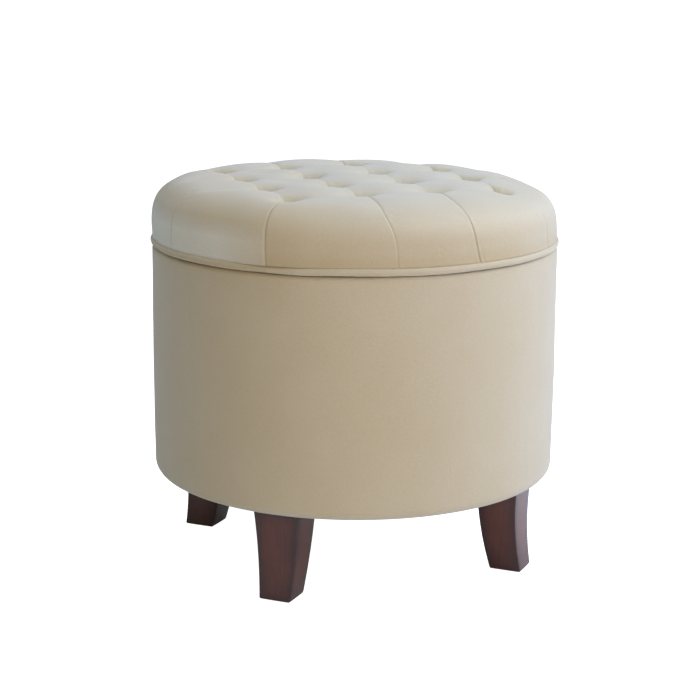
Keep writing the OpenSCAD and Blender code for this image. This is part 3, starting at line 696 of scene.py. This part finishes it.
def placeStaples(s):
    # five between each pair of legs under the base, and 24 evenly round the lid
    legArc = math.atan((legSettings["topWidth"] / 2 + s["crown"]) / legSettings["topOut"])
    quarter = np.linspace(legArc - math.pi / 4, math.pi / 4 - legArc, 5)
    base = (quarter + (np.arange(4) * math.pi / 2)[:, None]).ravel()
    lid = np.arange(24) * math.pi / 12
    makeStaples("baseStaples", "base_staples", "base", base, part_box("dust_cover")[1].x - s["fromHem"], s)
    makeStaples("lidStaples", "lid_staples", "lid", lid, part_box("locating_ring")[1].x - s["insideRing"], s)


placeStaples(stapleSettings)
print("staples driven")


# Lid cushion: velvet over foam, pulled down at four rows of four tufts, with pleats from the outer tufts out
cushionSettings = {
    "rows": 4, "margin": 56.5 * mm, "cells": 36, "rings": 72, "simCells": 12, "simRings": 24, "crowd": 0.8,
    "ringEase": 1.7, "planPower": 6.5, "shoulderPower": 4.1, "drop": 2 * mm, "velvet": 1.2 * mm,
    "pad": 1.6 * mm, "tuftDepth": 15.5 * mm, "pitReach": 15.5 * mm, "pitPower": 1.8, "packed": 0.45,
    "foldDepth": 1.0 * mm, "foldPower": 2.0, "foldFade": 1.6,
    # pillows that stand lower than the rest: column, row and by how much; their width is a share of the pitch
    "slack": [(0, 1, 4 * mm), (0, 2, 4 * mm), (-0.85, -0.85, -3 * mm)], "slackWidth": 0.42,
    "creaseDepth": 0.5 * mm, "creaseWidth": 1.6 * mm, "creaseReach": 22 * mm, "creaseLeast": 0.15,
    "pleatDepth": 1.15 * mm, "pleatWidth": 0.7 * mm, "pleatSoft": 1.5 * mm, "pleatStep": 0.45 * mm,
    "stepRise": 1.2 * mm, "stepReach": 7 * mm,
    # pleats that stray from a straight run: the pleat's bearing, degrees over the shoulder and at the welt
    "pleatStray": [(-100.4, -1.8, -0.4), (-79.6, 0.0, 2.8), (-169.6, -0.8, -1.5)], "strayWidth": 12,
    # for each pleat, anticlockwise from the front right corner: the side it laps to, its strength over the
    # shoulder and down the side, and the strength of a second, short fold beside it
    "pleatLap": [1, 1, 1, -1, 1, 1, -1, -1, 1, 1, -1, 1],
    "pleatUpper": [0.05, 0.9, 0.8, 1.0, 0.9, 0.8, 1.0, 0.0, 0.0, 1.2, 0.8, 0.5],
    "pleatLower": [0.5, 1.0, 0.9, 1.0, 0.9, 1.0, 1.0, 0.8, 1.0, 0.7, 0.45, 1.0],
    "pleatDouble": [0, 0, 1, 0, 0.6, 0, 0, 0, 0, 0, 0, 1],
    "doubleAside": 4.5 * mm, "doubleWidth": 1.1 * mm, "doubleDepth": 0.69 * mm,
    "lean": 4.5 * mm, "leanTowards": 170, "leanAt": 0.9, "leanWidth": 0.13, "shove": 1.3 * mm,
    "lip": 0.5 * mm, "sag": 1.2 * mm, "lipReach": 2.2 * mm, "uneven": 0.5 * mm, "unevenSize": 70 * mm,
    "pucker": 0.6 * mm, "puckerAt": 6 * mm, "pinch": 1.5 * mm, "pinchWidth": 4 * mm, "foamPinchWidth": 9 * mm,
    # how far the pile stands up, with painted light and shade in it: two panels are brushed the other way and
    # are lighter down the side, partly painted light; the top is paler, painted light, with painted shade
    # over one shoulder; painted shade darkens the rest of the side towards the welt
    "brushedFrom": 120, "brushedTo": 225, "fadeIn": 35, "fadeOut": 22, "cutShort": 6, "brushedLitSide": 1.1,
    "shoulderShade": -0.16, "shadeOver": 183, "side": -0.07, "sideBelow": 44 * mm, "sideFade": 20 * mm,
    "foot": -0.18, "footBelow": 16 * mm, "footFade": 12 * mm, "top": 0.2,
    "simHold": 7 * mm, "simFold": 4 * mm, "simSteps": 20, "simCap": 2 * mm,
    "cloth": {"quality": 6, "mass": 0.1, "tension_stiffness": 20, "compression_stiffness": 20,
              "bending_stiffness": 1.0, "use_pressure": True, "uniform_pressure_force": 30,
              "vertex_group_mass": "held"},
}


def makeNet(cells, rings, s):
    # a square net over the tufts, then rings of cells from its border out to the lower edge; lines crowd
    # together near the folds. Gives each point's plan, its distance from the folds and its share of the rings
    half = (s["rows"] - 1) / 2
    count = (s["rows"] - 1) * cells
    even = np.linspace(0, s["rows"] - 1, count + 1)
    line = even - s["crowd"] * np.sin(2 * np.pi * even) / (2 * np.pi) - half
    radius = cushionHigh.x
    field = (radius - s["margin"]) / math.sqrt(2)
    pitch = field / half
    u, v = [part.ravel() for part in np.meshgrid(line, line, indexing="ij")]
    t = np.arange(1, rings + 1)[:, None] / rings
    eased = 1 - (1 - t ** s["ringEase"]) ** s["shoulderPower"]
    inner = math.degrees(math.asin(pitch / 2 / radius))   # bearing of an inner tuft's fold at the lower edge
    linear = (27 * inner - 45) / 8   # so that the cubic below takes 1/3 to inner, and 1 to 45 degrees

    def ringPlan(tau, side):
        angle = np.radians(linear * tau + (45 - linear) * tau ** 3)
        start = np.stack([np.full_like(tau, field), tau * field], -1)
        flat = start + (radius * facing(angle) - start) * eased[..., None]
        bearing = bearingOf(flat) + 90 * side
        stray = np.zeros(bearing.shape)
        for at, early, late in s["pleatStray"]:
            beside = hill((bearing - at + 180) % 360 - 180, s["strayWidth"])
            stray += beside * (early * hill(t - 0.52, 0.22) + late * t ** 3)
        return lengthOf(flat)[..., None] * facing(np.radians(bearing + stray)), lengthOf(flat - start)

    tau = (line[:-1] / half)[None]
    sides = [ringPlan(tau, side) for side in range(4)]
    plan, outwards = [np.concatenate(part, 1) for part in zip(*sides)]
    # signed distance to the nearest of the twelve pleats
    gap = np.full(plan.shape[:2], np.inf)
    which = np.zeros(plan.shape[:2], int)
    for number in range(12):
        pleat = ringPlan(np.array([[number % 3 * 2 / 3 - 1]]), number // 3)[0]
        away = (pleat[..., 0] * plan[..., 1] - pleat[..., 1] * plan[..., 0]) / lengthOf(pleat)
        closer = (np.abs(away) < np.abs(gap)) & ((pleat * plan).sum(-1) >= 0)
        gap, which = np.where(closer, away, gap), np.where(closer, number, which)

    # distance to the nearest tuft, shorter along the folds than between them, so that a pit is a soft diamond
    every = np.concatenate([np.column_stack([u, v]) * pitch, plan.reshape(-1, 2)])
    away = every - (np.clip(np.round(every / pitch + half), 0, s["rows"] - 1) - half) * pitch
    nearU, nearV = [np.abs((part + half) - np.round(part + half)) * pitch for part in (u, v)]
    # 0 on a fold and 1, or -1, in the middle of a pillow
    rise = np.sin(np.pi * (u + half)) * np.sin(np.pi * (v + half))
    outerRise = np.sin(np.pi / 2 * ramp(outwards / (pitch / 2)))
    outerRise *= np.sin(np.pi * half * (np.tile(tau, 4) + 1))
    return {
        "plan": every, "away": away, "far": (np.abs(away) ** 1.5).sum(1) ** (1 / 1.5),
        "rise": np.concatenate([rise, outerRise.ravel()]),
        "gapA": np.concatenate([nearU, outwards.ravel()]), "gapB": np.concatenate([nearV, gap.ravel()]),
        "ring": np.concatenate([np.zeros(u.size), np.broadcast_to(t, plan.shape[:2]).ravel()]),
        "pleat": np.concatenate([np.full(u.size, -1), which.ravel()]),
        "count": count, "rings": rings, "pitch": pitch,
    }


def borderOf(square):
    # the border of a square grid of numbers or points, from one corner all the way round
    return np.concatenate([square[-1, :-1], square[:0:-1, -1], square[0, :0:-1], square[:-1, 0]])


def netFaces(net):
    # the net's faces, and the numbers of the points round its lower edge
    count, rings = net["count"], net["rings"]
    grid = np.arange((count + 1) ** 2).reshape(count + 1, count + 1)
    rows = np.vstack([borderOf(grid), (count + 1) ** 2 + np.arange(rings * 4 * count).reshape(rings, -1)])
    square = gridFaces(count + 1, count + 1, wrapColumns=False)
    return np.concatenate([square, ringFaces(rows[:-1], rows[1:])]), rows[-1]


def onDome(plan, depth, s):
    # height falls off as (1 - radius^planPower)^(1/shoulderPower); depth moves a point in along its normal
    low, radius = cushionLow.z, cushionHigh.x
    high = cushionHigh.z - s["drop"] - low
    r = np.maximum(1e-6, lengthOf(plan))
    u = np.minimum(1, r / radius)
    k = np.maximum(0, 1 - u ** s["planPower"]) ** (1 / s["shoulderPower"])
    slope = np.stack([s["planPower"] / radius * u ** (s["planPower"] - 1),
                      s["shoulderPower"] / high * k ** (s["shoulderPower"] - 1)], -1)
    slope /= np.linalg.norm(slope, axis=1, keepdims=True)
    normal = np.column_stack([plan / r[:, None] * slope[:, :1], slope[:, 1]])
    return np.column_stack([plan, low + k * high]) - normal * depth[:, None], normal


def pillowDepth(net, s):
    # how far a point lies below the dome: a pit of tuftDepth that dies away as
    # exp(-(distance / pitReach)^pitPower), and foldDepth along the folds, smoothly 0 on a pillow's crown;
    # the folds fade out towards the lower edge
    between = 1 - net["rise"] ** 2
    fold = s["foldDepth"] * between ** s["foldPower"] * (1 - net["ring"]) ** s["foldFade"]
    for column, row, lower in s["slack"]:
        centre = (np.array([column, row]) + 0.5 - (s["rows"] - 1) / 2) * net["pitch"]
        fold += lower * hill(lengthOf(net["plan"] - centre), s["slackWidth"] * net["pitch"])
    # outside the rows the shoulder is packed tighter, so a pit ends sooner there
    far = net["far"] * (1 + s["packed"] * ramp(net["ring"] / 0.1))
    return s["tuftDepth"] * np.exp(-(far / s["pitReach"]) ** s["pitPower"]) + fold


def baseCushion(net, s, inset=0.0):
    # the dome with its pits, fuller at one shoulder than at the other, but level again at the lower edge
    points, normal = onDome(net["plan"], pillowDepth(net, s) + inset, s)
    r = lengthOf(net["plan"]) / cushionHigh.x
    towards = facing(np.radians(s["leanTowards"]))
    lean = (net["plan"] @ towards) / cushionHigh.x
    points[:, 2] += s["lean"] * lean * hill(r - s["leanAt"], s["leanWidth"]) * (1 - net["ring"] ** 6)
    points[:, :2] += s["shove"] * np.outer(1 - net["ring"] ** 12, towards)
    return points, normal


def settle(net, s):
    # cloth simulation: air pressure swells the cover between its tufts, its pleats and its lower edge, which
    # hold; a fan of faces from one more point closes it below
    points, _ = baseCushion(net, s)
    faces, rim = netFaces(net)
    fan = np.stack([np.full(len(rim), len(points)), np.roll(rim, -1), rim], -1)
    piece = addMesh("settling", np.vstack([points, [0, 0, cushionLow.z]]), [faces, fan])
    a, b = net["gapA"], np.abs(net["gapB"])
    tuft = hill(np.hypot(a, np.minimum(b, 1)), s["simHold"])
    fold = 0.7 * hill(np.where(net["ring"] > 0, b, np.minimum(a, b)), s["simFold"])
    edge = ramp((net["ring"] - 0.93) / 0.05)
    held = np.round(np.maximum(np.maximum(tuft, fold), edge), 1)
    group = piece.vertex_groups.new(name="held")
    for level in np.unique(held[held > 0]):
        group.add(np.flatnonzero(held == level).tolist(), float(level), "REPLACE")
    group.add([len(points)], 1.0, "REPLACE")
    cloth = piece.modifiers.new("settle", "CLOTH")
    for setting, value in s["cloth"].items():
        setattr(cloth.settings, setting, value)
    cloth.settings.effector_weights.gravity = 0
    cloth.point_cache.frame_start, cloth.point_cache.frame_end = 1, s["simSteps"]
    for step in range(1, s["simSteps"] + 1):
        scene.frame_set(step)
    moved = np.empty(3 * (len(points) + 1))
    shown = piece.evaluated_get(bpy.context.evaluated_depsgraph_get())
    shown.data.vertices.foreach_get("co", moved)
    scene.frame_set(1)
    bpy.data.meshes.remove(piece.data)   # the piece goes with it
    shift = moved.reshape(-1, 3)[:-1] - points
    length = lengthOf(shift)[:, None]
    capped = np.minimum(length, s["simCap"])
    print("cushion settled: moved", round(float(capped.mean()) / mm, 2), "mm on average")
    return shift * capped / np.maximum(length, 1e-9)


def spline(count, base, wrap):
    # weights that read a coarse row of values, base cells long, at count + 1 even places with a smooth cubic
    at = np.arange(count + (0 if wrap else 1)) * base / count
    cell = np.minimum(np.floor(at).astype(int), base - 1)
    f = at - cell
    ff, fff = f ** 2, f ** 3
    weights = [-f + 2 * ff - fff, 2 - 5 * ff + 3 * fff, f + 4 * ff - 3 * fff, fff - ff]
    table = np.zeros((len(at), base if wrap else base + 1))
    for k, weight in enumerate(weights):
        column = (cell + k - 1) % base if wrap else np.clip(cell + k - 1, 0, base)
        np.add.at(table, (np.arange(len(at)), column), weight / 2)
    return table


def refine(shift, coarse, fine):
    # carries a shift of each coarse net point over to the fine net
    n, m = coarse["count"], fine["count"]
    square = shift[:(n + 1) ** 2].reshape(n + 1, n + 1, 3)
    rings = np.concatenate([borderOf(square)[None], shift[(n + 1) ** 2:].reshape(coarse["rings"], 4 * n, 3)])
    across, out = spline(m, n, False), spline(fine["rings"], coarse["rings"], False)[1:]
    fineSquare = np.einsum("ia,jb,abk->ijk", across, across, square, optimize=True)
    fineRings = np.einsum("ia,jb,abk->ijk", out, spline(4 * m, 4 * n, True), rings, optimize=True)
    return np.concatenate([fineSquare.reshape(-1, 3), fineRings.reshape(-1, 3)])


def dressCushion(net, s):
    # depth of the thin work on the cover: soft creases along the folds, pleats that lap to one side, puckers
    a, b, ring = net["gapA"], net["gapB"], net["ring"]
    reach = ramp(ring / 0.06)   # a pleat starts a little outside its tuft, where the crease ends
    creases = np.maximum(hill(a, s["creaseWidth"]), hill(b, s["creaseWidth"]) * (1 - reach))
    depth = s["creaseDepth"] * creases
    depth *= s["creaseLeast"] + (1 - s["creaseLeast"]) * hill(net["far"], s["creaseReach"])
    lapTo, upper, lower, double = [np.array(s[name])[net["pleat"]]
                                   for name in ("pleatLap", "pleatUpper", "pleatLower", "pleatDouble")]
    lap = lapTo * b
    strength = upper + (lower - upper) * ramp((ring - 0.55) / 0.3)
    pleat = s["pleatDepth"] * hill(lap, np.where(lap < 0, s["pleatSoft"], s["pleatWidth"]))
    lapped = np.maximum(lap, 0)
    pleat -= s["pleatStep"] * np.tanh(lapped / s["stepRise"]) * np.exp(-lapped / s["stepReach"])
    depth += pleat * reach * strength
    # the second fold shows just above the welt
    short = double * ramp((ring - 0.78) / 0.15) * hill(b - s["doubleAside"], s["doubleWidth"])
    depth += short * s["doubleDepth"]
    # radial puckers, strongest a little way off a tuft, and the pinch of the thread itself
    far, turn = lengthOf(net["away"]), np.radians(bearingOf(net["away"]))
    spokes = np.cos(12 * turn + 9 * swell(net["plan"] - net["away"], 50 * mm, 31))
    off = far / s["puckerAt"]
    depth += 0.5 * s["pucker"] * spokes * off * np.exp(1 - off)
    return depth + s["pinch"] * hill(far, s["pinchWidth"])


def brushingLightShade(points, s):
    # how far the pile stands up, together with painted light and shade, from a point's bearing, its height
    # and how far over to one shoulder it lies
    over = ramp(points[:, :2] @ facing(np.radians(s["shadeOver"])) / cushionHigh.x)
    bearing, height = bearingOf(points) % 360, points[:, 2] - cushionLow.z
    turned = ramp((s["brushedTo"] + s["cutShort"] - bearing) / s["fadeOut"]) * (bearing < s["brushedTo"])
    turned *= ramp((bearing - s["brushedFrom"]) / s["fadeIn"])
    side = ramp((s["sideBelow"] - height) / s["sideFade"])
    foot = ramp((s["footBelow"] - height) / s["footFade"])
    # painted light on the top and painted shade over one shoulder; painted shade down the side and more at
    # the foot, except on the two brushed panels
    upper = s["top"] + (s["shoulderShade"] - s["top"]) * over ** 1.3
    plain = s["side"] * side + s["foot"] * foot
    return upper * (1 - side) + side * turned * s["brushedLitSide"] + (1 - turned) * plain


def makeLidVelvet(net, shift, s):
    # the cushion's form with its settled shift, dressed, its lower edge rolled out to rest on the welt
    outer, normal = baseCushion(net, s)
    outer += shift - normal * dressCushion(net, s)[:, None]
    outer += normal * (s["uneven"] * swell(outer, s["unevenSize"], 22) * (1 - net["ring"] ** 4))[:, None]
    low = np.exp(-np.maximum(outer[:, 2] - cushionLow.z, 0) / s["lipReach"])
    outer[:, 2] -= s["sag"] * low
    outer[:, :2] *= (1 + s["lip"] * low / np.maximum(lengthOf(outer[:, :2]), 1 * mm))[:, None]
    faces, rim = netFaces(net)
    points = np.vstack([outer, outer - normal * s["velvet"]])
    hem = ringFaces(rim, rim + len(outer))
    cover = addPiece("lidVelvet", points, [faces, faces[:, ::-1] + len(outer), hem],
                     velvet, "lid", "lid_cover")
    # the mark carries painted light and shade along with the way the pile lies
    paint(cover, "napLightShade", np.tile(brushingLightShade(outer, s), 2))


def makeLidFoam(net, shift, s):
    # the same form inset under the velvet, closed below with a hollow that sits over the board
    pinched = hill(lengthOf(net["away"]), s["foamPinchWidth"])
    top = baseCushion(net, s, s["velvet"] + s["pad"] + s["pinch"] * pinched)[0] + shift
    faces, rim = netFaces(net)
    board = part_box("lid_board")[1]
    roofHeight = board.z + clearance
    scale = (board.x + clearance) / lengthOf(top[rim, :2])
    low = np.column_stack([top[rim, :2] * scale[:, None], top[rim, 2]])
    high = np.column_stack([low[:, :2], np.full(len(rim), roofHeight)])
    wallLow, wallHigh = len(top) + np.arange(2 * len(rim)).reshape(2, -1)
    roof = np.stack([np.full(len(rim), len(top) + 2 * len(rim)), np.roll(wallHigh, -1), wallHigh], -1)
    core = addPiece("lidFoam", np.vstack([top, low, high, [[0, 0, roofHeight]]]),
                    [faces, ringFaces(rim, wallLow), ringFaces(wallLow, wallHigh), roof],
                    foam, "lid", "lid_foam")


def makeCushion(s):
    # the velvet on a fine net, the foam on the coarse one that the cloth settles on
    net, coarse = makeNet(s["cells"], s["rings"], s), makeNet(s["simCells"], s["simRings"], s)
    shift = settle(coarse, s)
    makeLidVelvet(net, refine(shift, coarse, net), s)
    makeLidFoam(coarse, shift, s)


makeCushion(cushionSettings)
print("cushion made")


# Welt: velvet sewn round a cord, its flange stapled under the board. It is two strips, cut with the pile
# either way, and stripNap says how far the pile stands up on each
weltSettings = {
    "tube": 9.4 * mm, "cord": 6.8 * mm, "flange": 28 * mm, "waveUp": 0.55 * mm, "waveOut": 0.35 * mm,
    "twist": 0.12 * mm, "joint": 0.8 * mm, "stripNap": (-0.12, 0.02),
}


def makeWelt(s):
    # the strip's section carried round the lid, with a slow wander up and out, and a lapped joint at the back
    radius = s["tube"] / 2
    ringRadius, ringHeight = weltHigh.x - radius, weltHigh.z - radius
    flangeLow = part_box("lid_lining")[1].z
    flangeHigh = flangeLow + cushionSettings["velvet"]
    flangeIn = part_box("lid_board")[1].x - s["flange"]
    first = 180 - math.degrees(math.asin((flangeHigh - ringHeight) / radius))
    last = -180 + math.degrees(math.asin((ringHeight - flangeLow) / radius))
    tube = arc(ringRadius, ringHeight, radius, first, last, 30)
    flange = [[flangeIn, flangeLow], [flangeIn, flangeHigh]]
    outline = densify([flange, tube, flange[:1]], 5 * mm)[:-1]
    cord = arc(ringRadius, ringHeight, s["cord"] / 2 + clearance, 0, 360, 20)[:-1]
    angles = anglesAround(420, reach=0.05)
    up = s["waveUp"] * swell(facing(angles), 0.42, 41)
    out = s["waveOut"] * swell(facing(angles), 0.5, 42)
    aside = drumRadius * (angles - backSeam)
    joint = s["joint"] * (hill(aside - 1.5 * mm, 2.5 * mm) - 0.8 * hill(aside + 1.2 * mm, 0.8 * mm))
    parts = []
    for section in (outline, cord):
        r, z, angle = turned(section, angles)
        dr, dz = r - ringRadius, z - ringHeight
        onTube = ramp(1 - (np.hypot(dr, dz) - radius) / (2 * mm))
        if section is outline:
            turns = np.concatenate([3 * facing(angle), 0.06 * np.arctan2(dz, dr)[..., None]], -1)
            twist = s["twist"] * swell(turns, 0.09, 43)
            grow = np.where(onTube > 0.99, 1 + onTube * (joint + twist) / radius, 1)
            r, z = ringRadius + dr * grow, ringHeight + dz * grow
        parts.append(toPoints(r + onTube * out, z + onTube * up, angle))
    strip, hole = [gridFaces(*part.shape[:2], wrapRows=True) for part in parts]
    hole += parts[0][..., 0].size   # the hole's outline turns anticlockwise, so its faces face in
    points = np.concatenate([part.reshape(-1, 3) for part in parts])
    piece = addPiece("weltVelvet", points, [strip, hole], velvet, "lid", "welt_cover")
    bearing = bearingOf(points) % 360
    other = (bearing > cushionSettings["brushedFrom"]) & (bearing < cushionSettings["brushedTo"])
    paint(piece, "napLightShade", np.where(other, *s["stripNap"]))


makeWelt(weltSettings)
print("welt sewn")


# Studio: a wide pale floor and a backdrop, both white to the camera, with all the light from soft round boxes
studioSettings = {
    "backdrop": 1.0, "mirrored": 0.4, "floor": "#F2F2F0", "floorGlow": 1.2, "floorMirrored": 0.13,
    "floorHalf": 30, "aimHeight": 0.25,
    # each box: degrees from the camera's own side, anticlockwise seen from above, distance from the axis,
    # height, width, power and colour
    "boxes": {
        "keyBox": (110, 2.3, 1.5, 1.8, 47, "#E5EEFF"),
        "sideBox": (75, 2.3, 1.5, 1.8, 21, "#B3C5FF"),
        "faceBox": (40, 2.3, 1.5, 1.8, 26.5, "#DDDFFF"),
        "topBox": (0, 0.3, 2.6, 2.0, 36, "#D7E5FF"),
        "lowBox": (20, 2.6, 0.9, 1.6, 14.2, "#FFE1C8"),
        "fillBox": (-25, 2.6, 2.0, 1.6, 9.5, "#FFD459"),
        "rimBox": (-115, 2.3, 1.5, 1.6, 15.5, "#DAEAFF"),
    },
}


def seenAs(tree, camera, mirrored, operation):
    # one strength as the camera sees it and one as reflections do, so that no light falls on the piece
    path = addNode(tree, "ShaderNodeLightPath").outputs
    rays = ((path["Is Camera Ray"], camera), (path["Is Glossy Ray"], mirrored))
    seen = [addNode(tree, "ShaderNodeMath", dict(enumerate(ray)), operation="MULTIPLY").outputs[0]
            for ray in rays]
    return addNode(tree, "ShaderNodeMath", dict(enumerate(seen)), operation=operation).outputs[0]


def makeFloor(s):
    half = s["floorHalf"]
    corners = np.array([(-half, -half, 0), (half, -half, 0), (half, half, 0), (-half, half, 0)])
    floor = addMesh("floor", corners, [[(0, 1, 2, 3)]])
    material, tree, _ = startFinish("paintedFloor", {
        "Roughness": 0.9, "Specular IOR Level": 0.0,
        "Base Color": toLinear(s["floor"]), "Emission Color": toLinear(s["floor"])})
    glow = seenAs(tree, s["floorGlow"], s["floorMirrored"], "ADD")
    floor.data.materials.append(endFinish(material, {"Emission Strength": glow}))


def makeBackdrop(s):
    scene.world = bpy.data.worlds.new("sky")
    scene.world.use_nodes = True
    tree = scene.world.node_tree
    background = tree.nodes["Background"].inputs
    background["Color"].default_value = (1, 1, 1, 1)
    tree.links.new(seenAs(tree, s["backdrop"], s["mirrored"], "MAXIMUM"), background["Strength"])


def makeBox(name, turn, away, height, size, power, colour, s):
    # a round area light that faces the middle of the piece
    turn = math.radians(cameraSettings["turn"] - 90 + turn)
    light = addObject(name, bpy.data.lights.new(name, "AREA"))
    light.location = (away * math.cos(turn), away * math.sin(turn), height)
    x, y, z = np.array([0, 0, s["aimHeight"]]) - np.array(light.location)
    light.rotation_euler = (math.atan2(math.hypot(x, y), -z), 0, math.atan2(y, x) - math.pi / 2)
    light.data.shape = "DISK"
    light.data.size = size
    light.data.energy = power
    light.data.color = toLinear(colour)[:3]


makeFloor(studioSettings)
makeBackdrop(studioSettings)
for name, box in studioSettings["boxes"].items():
    makeBox(name, *box, studioSettings)
scene.view_settings.view_transform = "Standard"
print("studio lit")
